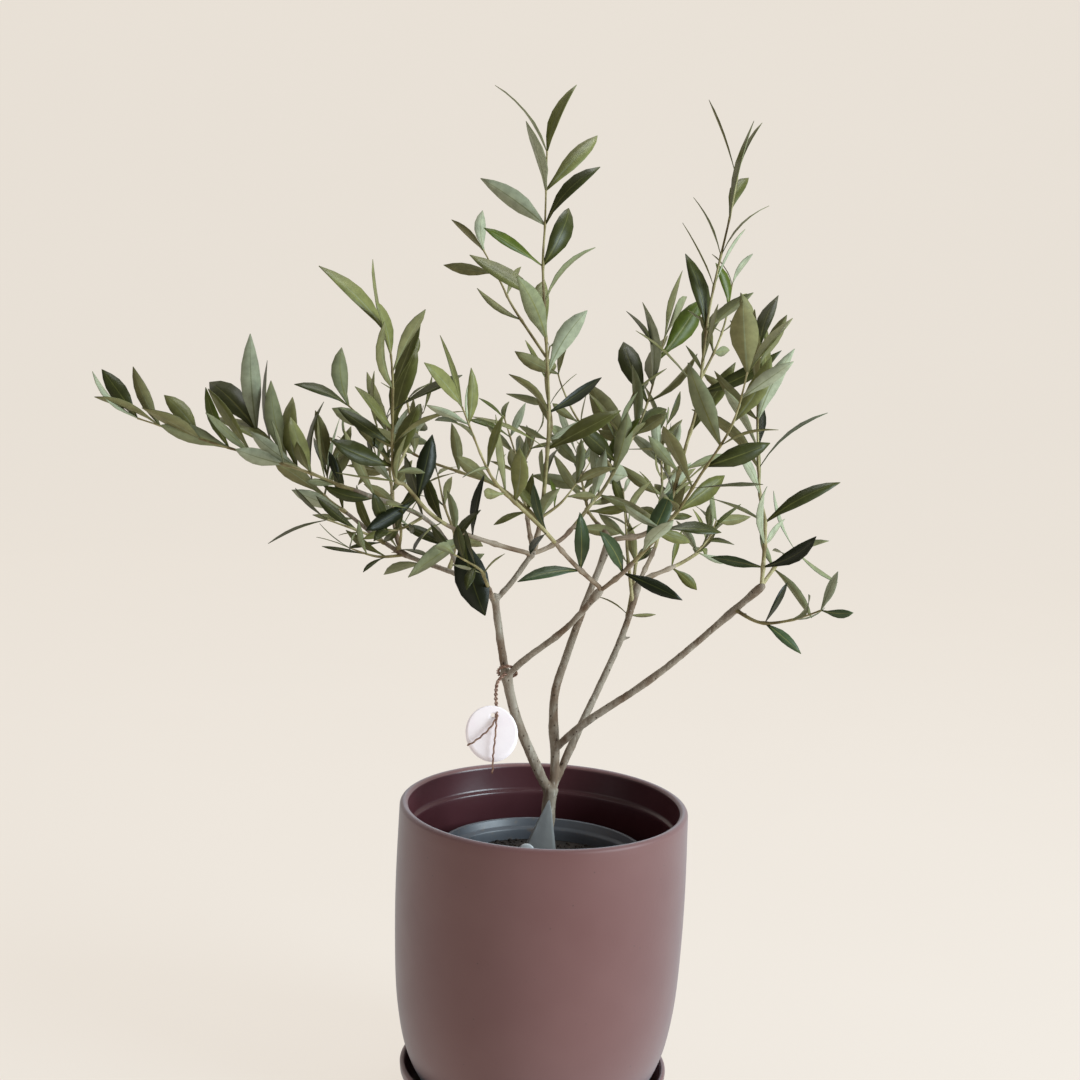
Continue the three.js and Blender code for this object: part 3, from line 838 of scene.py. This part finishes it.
# Each mass of leaves has a leading shoot from its bough through points in its box. Opposite pairs of
# leaves stand along it, each pair turned about the stem from the last: turn 0 puts a pair front and
# back, 90 left and right. Lean is from the stem at foot and tip, length in mm, spare how often a leaf
# is missing, side how often a node bears a side twig, rise how far leaves turn up towards the light.
usual = {
    "pairs": 8, "lean": (66, 34), "length": (38, 56), "width": 0.26, "turn": 84, "quarter": 62,
    "first": 0.06, "last": 1, "halves": (0, 180), "spare": 0.08, "side": 0.15, "sag": 0.3, "rise": 0.08,
    "kinds": "olive dark olive moss dark fresh khaki silver olive"}
shoots = {
    "far_left_foliage": {
        "from": "brown_bough", "pairs": 8, "length": (34, 62), "seed": 3, "side": 0, "turn": 95,
        "rise": 0.8, "spare": 0.02, "kinds": "dark fresh moss deep olive khaki", "lean": (50, 26),
        "route": [(0.89, 0.55, 0.12), (0.75, 0.50, 0.22), (0.45, 0.39, 0.38), (0.15, 0.29, 0.55)]},
    "left_outer_foliage": {
        "from": "left_bough", "pairs": 7, "length": (44, 86), "seed": 12, "side": 0.1, "rise": 0.6,
        "lean": (50, 26), "kinds": "moss silver olive dark khaki",
        "route": [(0.79, 0.32, 0.45), (0.59, 0.48, 0.66), (0.28, 0.76, 0.93)]},
    "left_tall_foliage": {
        "from": "left_shoot_stem", "pairs": 9, "length": (46, 76), "seed": 13, "side": 0.1,
        "lean": (56, 28), "route": [(0.54, 0.64, 0.08), (0.53, 0.42, 0.50), (0.49, 0.33, 0.70)]},
    "front_left_foliage": {
        "from": "front_left_stem", "pairs": 8, "length": (40, 68), "seed": 14, "side": 0, "lean": (60, 26),
        "kinds": "olive silver dark moss khaki",
        "route": [(0.65, 0.62, 0.22), (0.54, 0.51, 0.37), (0.38, 0.31, 0.67)]},
    "crown_top_foliage": {
        "from": "centre_shoot_stem", "pairs": 9, "length": (50, 84), "seed": 15, "side": 0, "last": 0.99,
        "lean": (66, 34), "width": 0.23, "first": 0.1, "spare": 0.12,
        "kinds": "dark olive khaki silver fresh deep moss",
        "route": [(0.53, 0.53, 0.14), (0.50, 0.53, 0.28), (0.42, 0.53, 0.53), (0.42, 0.53, 0.65),
                  (0.41, 0.53, 0.82)]},
    "crown_left_foliage": {
        "from": "crown_top_foliage", "at": 0.38, "pairs": 4, "length": (42, 60), "seed": 16, "first": 0.35,
        "side": 0, "lean": (40, 24), "width": 0.22, "kinds": "olive silver",
        "route": [(0.77, 0.11, 0.14), (0.60, 0.38, 0.31), (0.39, 0.66, 0.51)]},
    "centre_right_foliage": {
        "from": "centre_right_stem", "pairs": 8, "length": (50, 80), "seed": 17, "side": 0.1,
        "route": [(0.26, 0.20, 0.10), (0.49, 0.44, 0.33), (0.61, 0.58, 0.50), (0.74, 0.78, 0.81)]},
    "front_right_foliage": {
        "from": "front_right_stem", "pairs": 8, "length": (40, 70), "seed": 18, "side": 0.1,
        "route": [(0.34, 0.73, 0.18), (0.46, 0.60, 0.32), (0.65, 0.45, 0.53), (0.73, 0.35, 0.75)]},
    "right_tall_foliage": {
        "from": "right_shoot_stem", "pairs": 9, "length": (44, 86), "seed": 79, "side": 0.2,
        "lean": (58, 24), "width": 0.2, "first": 0.03, "kinds": "dark sage olive moss silver khaki",
        "route": [(0.28, 0.42, 0.10), (0.37, 0.46, 0.22), (0.43, 0.52, 0.45), (0.57, 0.62, 0.68),
                  (0.62, 0.66, 0.78)]},
    "right_outer_foliage": {
        "from": "low_right_limb", "pairs": 10, "length": (44, 80), "seed": 20, "side": 0.1,
        "lean": (66, 36), "width": 0.21, "kinds": "dark olive deep teal olive silver",
        "route": [(0.47, 0.34, 0.14), (0.41, 0.39, 0.24), (0.37, 0.54, 0.47), (0.37, 0.70, 0.66)]},
    "low_right_foliage": {
        "from": "low_right_limb", "at": 0.87, "pairs": 3, "length": (24, 40), "seed": 21, "side": 0,
        "first": 0.4, "kinds": "teal deep dark",
        "route": [(0.17, 0.70, 0.33), (0.40, 0.55, 0.42), (0.60, 0.38, 0.60)]},
    "right_low_foliage": {
        "from": "low_right_limb", "at": 0.99, "pairs": 3, "length": (26, 62), "seed": 22, "side": 0,
        "first": 0.4, "kinds": "dark teal", "width": 0.17, "lean": (80, 60),
        "route": [(0.13, 0.22, 0.35), (0.28, 0.45, 0.43)]},
    "outer_right_foliage": {
        "from": "outer_right_stem", "pairs": 6, "length": (26, 46), "seed": 23,
        "kinds": "dark moss khaki olive fresh",
        "route": [(0.12, 0.21, 0.14), (0.25, 0.42, 0.27), (0.33, 0.60, 0.43)]},
    "back_right_foliage": {
        "from": "back_right_stem", "pairs": 8, "length": (34, 48), "seed": 24, "side": 0.3,
        "route": [(0.53, 0.33, 0.23), (0.50, 0.66, 0.55)]},
    "inner_right_foliage": {
        "from": "inner_right_stem", "pairs": 6, "length": (34, 52), "seed": 25,
        "kinds": "moss dark silver olive",
        "route": [(0.77, 0.13, 0.08), (0.66, 0.42, 0.34), (0.60, 0.62, 0.50)]},
    "back_centre_foliage": {
        "from": "back_centre_stem", "pairs": 6, "length": (30, 42), "seed": 26, "side": 0.4,
        "route": [(0.61, 0.48, 0.08), (0.42, 0.80, 0.36)]},
    "back_left_foliage": {
        "from": "back_left_stem", "pairs": 7, "length": (34, 48), "seed": 27, "side": 0.3,
        "route": [(0.51, 0.41, 0.20), (0.41, 0.80, 0.50)]},
    "inner_left_foliage": {
        "from": "inner_left_stem", "pairs": 4, "length": (26, 36), "seed": 28, "side": 0,
        "route": [(0.58, 0.86, 0.40), (0.30, 0.50, 0.60)]},
}
# lesser shoots off these, through places in mm
sideShoots = {
    "behind_left": {
        "from": "centre_shoot_stem", "at": 0.45, "pairs": 6, "seed": 31, "length": (30, 58), "rise": 0.4,
        "route": [(-48, 20, 521), (-79, 35, 529), (-117, 50, 539), (-155, 60, 560), (-180, 70, 578)]},
    "middle_right": {
        "from": "centre_right_foliage", "at": 0.2, "pairs": 3, "seed": 32, "length": (32, 46),
        "route": [(34, 62, 548), (12, 66, 577), (0, 66, 600), (-4, 60, 612)]},
    "right_twig": {
        "from": "centre_right_foliage", "at": 0.4, "pairs": 3, "seed": 33, "length": (32, 48),
        "route": [(56, 88, 579), (62, 94, 598)]},
    "left_upright": {
        "from": "left_bough", "at": 0.63, "pairs": 3, "seed": 34, "length": (28, 42),
        "route": [(-129, 42, 476), (-132, 36, 499)]},
    "left_low": {
        "from": "left_bough", "at": 0.72, "pairs": 3, "seed": 35, "length": (36, 54), "width": 0.18,
        "kinds": "dark olive khaki dark", "route": [(-160, 42, 474), (-189, 24, 487)]},
    "right_inner": {
        "from": "right_limb", "at": 0.9, "pairs": 3, "first": 0.45, "seed": 36, "length": (26, 36),
        "route": [(61, 62, 464), (60, 70, 476), (58, 80, 494)]},
    "back_high": {
        "from": "crown_top_foliage", "at": 0.12, "pairs": 5, "seed": 37, "length": (30, 42),
        "route": [(-8, 40, 575), (-14, 66, 604), (-12, 84, 632)]},
    "back_low_left": {
        "from": "left_bough", "at": 0.3, "pairs": 4, "seed": 38, "length": (30, 40),
        "route": [(-84, 52, 470), (-96, 90, 492), (-104, 120, 514)]},
    "back_low_right": {
        "from": "right_limb", "at": 0.8, "pairs": 4, "seed": 39, "length": (30, 40),
        "route": [(70, 92, 456), (62, 124, 480), (58, 150, 504)]},
    "left_inner_top": {
        "from": "left_tall_foliage", "at": 0.1, "pairs": 4, "seed": 40, "length": (28, 38),
        "route": [(-118, -46, 570), (-124, -20, 598), (-126, -4, 622)]},
    "right_back_top": {
        "from": "right_tall_foliage", "at": 0.35, "pairs": 5, "seed": 41, "length": (28, 40),
        "route": [(128, 78, 640), (136, 96, 664), (140, 108, 690)]},
}
# sparse leaves low on the young limbs, some of them hanging
stemLeaves = {
    "left_shoot_stem": {
        "pairs": 3, "seed": 61, "first": 0.4, "last": 0.85, "length": (40, 68), "turn": 96,
        "lean": (70, 60), "kinds": "deep dark olive"},
    "brown_bough": {
        "pairs": 3, "seed": 62, "first": 0.35, "last": 0.85, "length": (34, 60), "turn": 80, "rise": 0.4,
        "kinds": "dark khaki moss"},
    "left_bough": {
        "pairs": 4, "seed": 63, "first": 0.42, "last": 0.95, "length": (34, 66), "lean": (40, 30),
        "width": 0.16, "kinds": "dark sage dark khaki"},
    "front_left_stem": {
        "pairs": 2, "seed": 64, "first": 0.25, "last": 0.7, "length": (34, 56), "kinds": "teal deep"},
    "front_right_stem": {
        "pairs": 2, "seed": 65, "first": 0.35, "last": 0.75, "length": (44, 64), "turn": 90,
        "kinds": "teal deep"},
    "right_shoot_stem": {
        "pairs": 3, "seed": 66, "first": 0.4, "last": 0.9, "length": (30, 46)},
    "centre_right_stem": {
        "pairs": 2, "seed": 67, "first": 0.5, "last": 0.9, "length": (30, 50)},
    "centre_shoot_stem": {
        "pairs": 2, "seed": 68, "first": 0.5, "last": 0.9, "length": (34, 54)},
    "outer_right_stem": {
        "pairs": 2, "seed": 69, "first": 0.5, "last": 0.95, "length": (22, 34)},
}
# the one large leaf that hangs under the left fork
hanging = {
    "from": "left_shoot_stem", "at": 0.45, "aim": (0.28, -0.2, -0.94), "length": 68, "width": 0.33,
    "seed": 70, "sag": 0.05, "kind": "deep"}
# the line of each leading and lesser shoot, filled in as it grows
stems = {}


def inBox(node, share):
    low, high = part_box(node)
    return Vector([a + (b - a) * f for a, b, f in zip(low, high, share)])


def lineOf(name):
    return stems[name] if name in stems else curveLine(limbLines[name])


def stemOf(name, it):
    # the leading shoot: from its bough, thinning to the tip
    start, _, girth = alongLine(lineOf(it["from"]), it.get("at", 1))
    stations = [(start, min(girth, 1.7 * mm))]
    count = len(it["route"])
    for i, share in enumerate(it["route"]):
        thin = (i + 1) / count
        place = inBox(name, share) if name in shoots else Vector(share) * mm
        stations.append((place, stations[0][1] * (1 - thin) + 0.6 * mm * thin))
    return curveLine(stations, 7)


def ruleLeaf(place, aim, up, length, it, dice, girth, kind):
    # what growLeaf needs, with the small irregularities each leaf has
    return {"foot": place + aim * girth * 0.5, "fore": aim, "up": up, "side": aim.cross(up), "length": length,
            "width": length * it["width"] * dice.uniform(0.8, 1.25), "arch": dice.gauss(it["sag"], 0.3),
            "bow": dice.gauss(0, 0.3), "fold": dice.uniform(0.12, 0.38), "twist": dice.gauss(0, 0.25),
            "wave": dice.uniform(0, 0.06), "phase": dice.uniform(0, 6),
            "thick": blade["skin"] * mm / blade["thick"],
            "shape": dice.choice(("lance", "oval", "oval", "spoon")), "kind": kind}


def growPair(bm, place, direction, turn, it, share, dice, girth, slots):
    # two opposite leaves at one node; either may be missing
    leanLow, leanHigh = it["lean"]
    small, large = it["length"]
    grown = 0
    for half in it["halves"]:
        lean = leanLow + (leanHigh - leanLow) * share + dice.gauss(0, 9)
        aim = aimFrom(direction, turn + half + dice.gauss(0, 14), lean)
        aim = (aim + Vector((0, 0, it["rise"] + dice.gauss(0, 0.12)))).normalized()
        length = (small + (large - small) * dice.random()) * (0.78 + 0.22 * min(1, share * 3)) * mm
        roll = math.radians(dice.choice((-80, -50, -15, 0, 15, 50, 80)) + dice.gauss(0, 16))
        up = Matrix.Rotation(roll, 3, aim) @ (direction - aim * direction.dot(aim)).normalized()
        kind = dice.choice(it["kinds"])
        if dice.random() > it["spare"]:
            growLeaf(bm, ruleLeaf(place, aim, up, length, it, dice, girth, kind), slots)
            grown += 1
    return grown


def swell(line, shares, much=1.35):
    # a slight thickening of the stem at each node
    total = len(line) - 1
    out = []
    for i, (place, radius) in enumerate(line):
        grow = 1 + sum((much - 1) * math.exp(-((i / total - s) * total / 1.1) ** 2) for s in shares)
        out.append((place, radius * min(grow, much)))
    return out


twigGap = 2.5  # mm between the sections of a twig


def resample(line, gap):
    total = sum((b[0] - a[0]).length for a, b in zip(line, line[1:]))
    count = max(4, round(total / gap))
    out = []
    for i in range(count + 1):
        place, _, radius = alongLine(line, i / count)
        out.append((place, radius))
    return out


def sideTwig(bm, place, direction, turn, girth, it, dice, slots):
    # a side twig in the axil of a leaf, with a few smaller pairs
    aim = aimFrom(direction, turn + dice.choice((0, 180)) + dice.gauss(0, 20), dice.uniform(38, 58))
    reach = dice.uniform(28, 48) * mm
    bend = Vector((dice.gauss(0, 0.1), dice.gauss(0, 0.1), 0.22))
    tip = place + (aim + bend).normalized() * reach
    middle = place + aim * reach * 0.5
    line = curveLine([(place, girth * 0.7), (middle, girth * 0.55), (tip, 0.5 * mm)])
    small = {**it, "length": tuple(v * 0.7 for v in it["length"])}
    count = 0
    for k in range(3):
        share = (k + 1) / 3
        spot, ahead, thin = alongLine(line, share)
        count += growPair(bm, spot, ahead, turn + 90 * k, small, share, dice, thin, slots)
    return line, count


def growAlong(bm, line, it, slots, twigs):
    # opposite pairs along one stem; gives the number of leaves and the places of the pairs
    dice = random.Random(it["seed"])
    count = 0
    shares = []
    for i in range(it["pairs"]):
        share = it["first"] + (it["last"] - it["first"]) * i / max(1, it["pairs"] - 1)
        share = min(1, max(0, share + dice.gauss(0, 0.015)))
        turn = it["turn"] + it["quarter"] * (i % 2) + dice.gauss(0, 14)
        shares.append(share)
        place, direction, girth = alongLine(line, share)
        count += growPair(bm, place, direction, turn, it, share, dice, girth, slots)
        if dice.random() < it["side"] and 0.1 < share < 0.8:
            side, more = sideTwig(bm, place, direction, turn, girth, it, dice, slots)
            twigs.append(side)
            count += more
    return count, shares


def growHanging(bm, slots):
    dice = random.Random(hanging["seed"])
    place, _, girth = alongLine(lineOf(hanging["from"]), hanging["at"])
    aim = Vector(hanging["aim"]).normalized()
    up = stemFrame(aim)[0]
    leaf = ruleLeaf(place, aim, up, hanging["length"] * mm, hanging, dice, girth, hanging["kind"])
    growLeaf(bm, {**leaf, "shape": "oval"}, slots)


def makeTwigs(twigs):
    # the first part of each young limb has turned woody
    woody = []
    for name in youngLimbs:
        line = resample(rooted(curveLine(limbLines[name])), twigGap * mm)
        line = swell(line, [0.25, 0.5, 0.75, 1])[:max(6, int(len(line) * 0.62))]
        total = len(line)
        woody.append([(place, girth * (1.1 - 0.08 * i / total)) for i, (place, girth) in enumerate(line)])
    bm = bmesh.new()
    bm.from_mesh(tubesMesh("young_twigs", twigs, 2))
    greenFaces = len(bm.faces)
    bm.from_mesh(tubesMesh("woody_twigs", woody, 3))
    bm.faces.ensure_lookup_table()
    for face in bm.faces:
        face.material_index = int(face.index >= greenFaces)
    standFor(linkPiece("young_twigs", bm, [youngSkin, woodySkin]), "young_bark", *youngLimbs)


def growShoots():
    slots = {name: i for i, name in enumerate([*upperTones, *lowerTones])}
    bm = bmesh.new()
    twigs = [rooted(curveLine(limbLines[name])) for name in youngLimbs]
    count = 0
    for name, plan in {**shoots, **sideShoots, **stemLeaves}.items():
        # a lesser shoot bears no twigs of its own
        it = {**usual, **({"side": 0} if name in sideShoots else {}), **plan}
        it["kinds"] = it["kinds"].split()
        line = stemOf(name, it) if "from" in it else lineOf(name)
        more, shares = growAlong(bm, line, it, slots, twigs)
        count += more
        if "from" in it:
            stems[name] = line
            twigs.append(swell(resample(line, twigGap * mm), shares))
    growHanging(bm, slots)
    count += 1
    finishes = [leafSide("leafUpper_" + n, t, 0.42, 0.28) for n, t in upperTones.items()]
    finishes += [leafSide("leafLower_" + n, t, 0.62, 0.2) for n, t in lowerTones.items()]
    leaves = linkPiece("olive_leaves", bm, finishes)
    standFor(leaves, "olive_leaf", *shoots)
    makeTwigs(twigs)
    print("leaves:", count, "with", len(leaves.data.polygons), "faces; twigs:", len(twigs))


growShoots()


# in mm, but for the turn in degrees, the curl and the count of corners around
tag = {"middle": (-45, -47, 331), "turn": -12, "half": (21, 23.3), "hole": 1.7, "holeAt": (3.5, 15),
       "thick": 0.5, "curl": 0.006, "around": 48}


def makeTag():
    # a blank card disc with a punched hole, curling a little towards its foot
    turn = Matrix.Rotation(math.radians(tag["turn"]), 4, "Y")
    upright = Matrix.Rotation(math.radians(90), 4, "X")
    x, z = tag["holeAt"]
    bm = bmesh.new()
    rim = Matrix.Diagonal((tag["half"][0], 1, tag["half"][1], 1)) @ upright
    hole = Matrix.Translation((x, 0, z)) @ upright @ Matrix.Scale(tag["hole"], 4)
    bmesh.ops.create_circle(bm, segments=tag["around"], radius=1, matrix=rim)
    bmesh.ops.create_circle(bm, segments=tag["around"], radius=1, matrix=hole)
    edges = bm.edges[:]
    bmesh.ops.bridge_loops(bm, edges=edges)
    bmesh.ops.subdivide_edges(bm, edges=[e for e in bm.edges if e not in edges], cuts=7)
    for vert in bm.verts:
        low = max(0, 8 - vert.co.z)
        vert.co.y = -tag["curl"] * low ** 2 / 3 + 0.0012 * vert.co.x ** 2
    bmesh.ops.recalc_face_normals(bm, faces=bm.faces)
    bmesh.ops.solidify(bm, geom=bm.faces[:], thickness=tag["thick"])
    place = Matrix.Scale(mm, 4) @ Matrix.Translation(tag["middle"]) @ turn
    bmesh.ops.transform(bm, matrix=place, verts=bm.verts)
    bmesh.ops.recalc_face_normals(bm, faces=bm.faces)
    standFor(linkPiece("tag_disc", bm, [tagCard()]), "tag_card", "hanging_tag")


# in mm, but for the lean in degrees
tie = {"girth": 0.75, "coil": 1.0, "pitch": 7,
       "hang": [(-36, -30, 377), (-42, -35, 371), (-43, -41, 362), (-42, -45, 352), (-41.5, -49.5, 345)],
       "tailLong": [(-41.5, -49.5, 345), (-42, -51, 330), (-43, -51.5, 314), (-43, -51, 299)],
       "tailShort": [(-41.5, -49.5, 345), (-47, -51, 336), (-56, -51, 327), (-64, -50.5, 321)],
       "loop": {"middle": (-35, -17, 375), "half": (7.4, 9), "lean": 38}}


def tieRing():
    # the loop round the fork, leaning back
    loop = tie["loop"]
    ring = []
    for i in range(25):
        a = 2 * math.pi * i / 24 - math.pi / 2
        x = loop["half"][0] * math.cos(a)
        y = loop["half"][1] * math.sin(a)
        ring.append((Vector(loop["middle"]) + Vector((x, y, -y * math.tan(math.radians(loop["lean"]))))) * mm)
    return ring


def windStrand(line, phase, reach):
    # a strand that winds round the line
    strand = []
    gone = 0
    for i, (p, r) in enumerate(line):
        ahead = (line[min(i + 1, len(line) - 1)][0] - line[max(i - 1, 0)][0]).normalized()
        steep = abs(ahead.y) > 0.9
        across = ahead.orthogonal() if steep else ahead.cross(Vector((0, 1, 0)))
        if i:
            gone += (p - line[i - 1][0]).length
        a = 2 * math.pi * gone / (tie["pitch"] * mm) + phase
        strand.append((p + Matrix.Rotation(a, 3, ahead) @ across.normalized() * reach, r))
    return strand


def makeTie():
    # two strands wound about each other, looped round the fork, with two loose tails
    girth = tie["girth"] * mm
    coil = tie["coil"] * mm
    pairs = [[(p, girth) for p in tieRing()], curveLine([(Vector(p) * mm, girth) for p in tie["hang"]])]
    tails = [curveLine([(Vector(p) * mm, girth) for p in tie[name]]) for name in ("tailLong", "tailShort")]
    lines = [windStrand(line, phase, coil) for line in pairs for phase in (0, math.pi)]
    lines += [windStrand(line, 0, coil * 0.4) for line in tails]
    mesh = tubesMesh("tie_strands", lines, 6)
    standFor(meshPiece("tie_strands", mesh, tieWire()), "tie_wire", "tag_tie")


# in mm; foot is the wedge's left and right at its low edge, apex its top as across and up
film = {"foot": (-23, 14), "low": 206, "apex": (4, 266.5), "y": -14.5, "bow": 2.2, "thick": 0.35,
        "lugAt": (-13, -17.6, 224), "lugHalf": (6.5, 1.5, 6)}


def makeFilm():
    # a folded wedge of frosted film in front of the trunk, with a rounded lug at its foot
    bm = bmesh.new()
    bmesh.ops.create_grid(bm, x_segments=8, y_segments=12, size=1)
    left, right = film["foot"]
    for vert in bm.verts:
        across, up = vert.co.x, (vert.co.y + 1) / 2
        half = (right - left) / 2 * (1 - up) ** 0.95 + 0.6 * up
        middle = (left + right) / 2 * (1 - up) + film["apex"][0] * up
        crease = -film["bow"] * (1 - abs(across - 0.25)) * (1 - up) * 0.8
        z = film["low"] + (film["apex"][1] - film["low"]) * up
        vert.co = Vector((middle + half * across, film["y"] + 1.2 + crease, z))
    bmesh.ops.recalc_face_normals(bm, faces=bm.faces)
    bmesh.ops.solidify(bm, geom=bm.faces[:], thickness=film["thick"])
    place = Matrix.Translation(film["lugAt"]) @ Matrix.Diagonal((*film["lugHalf"], 1))
    lug = bmesh.ops.create_uvsphere(bm, u_segments=20, v_segments=12, radius=1, matrix=place)["verts"]
    for face in {f for vert in lug for f in vert.link_faces}:
        face.material_index = 1
    bmesh.ops.transform(bm, matrix=Matrix.Scale(mm, 4), verts=bm.verts)
    bmesh.ops.recalc_face_normals(bm, faces=bm.faces)
    standFor(linkPiece("film_wedge", bm, [clearFilm(), whitePlastic()]), "clear_film", "clear_film")


makeTag()
makeTie()
makeFilm()
print("tag, tie and film")
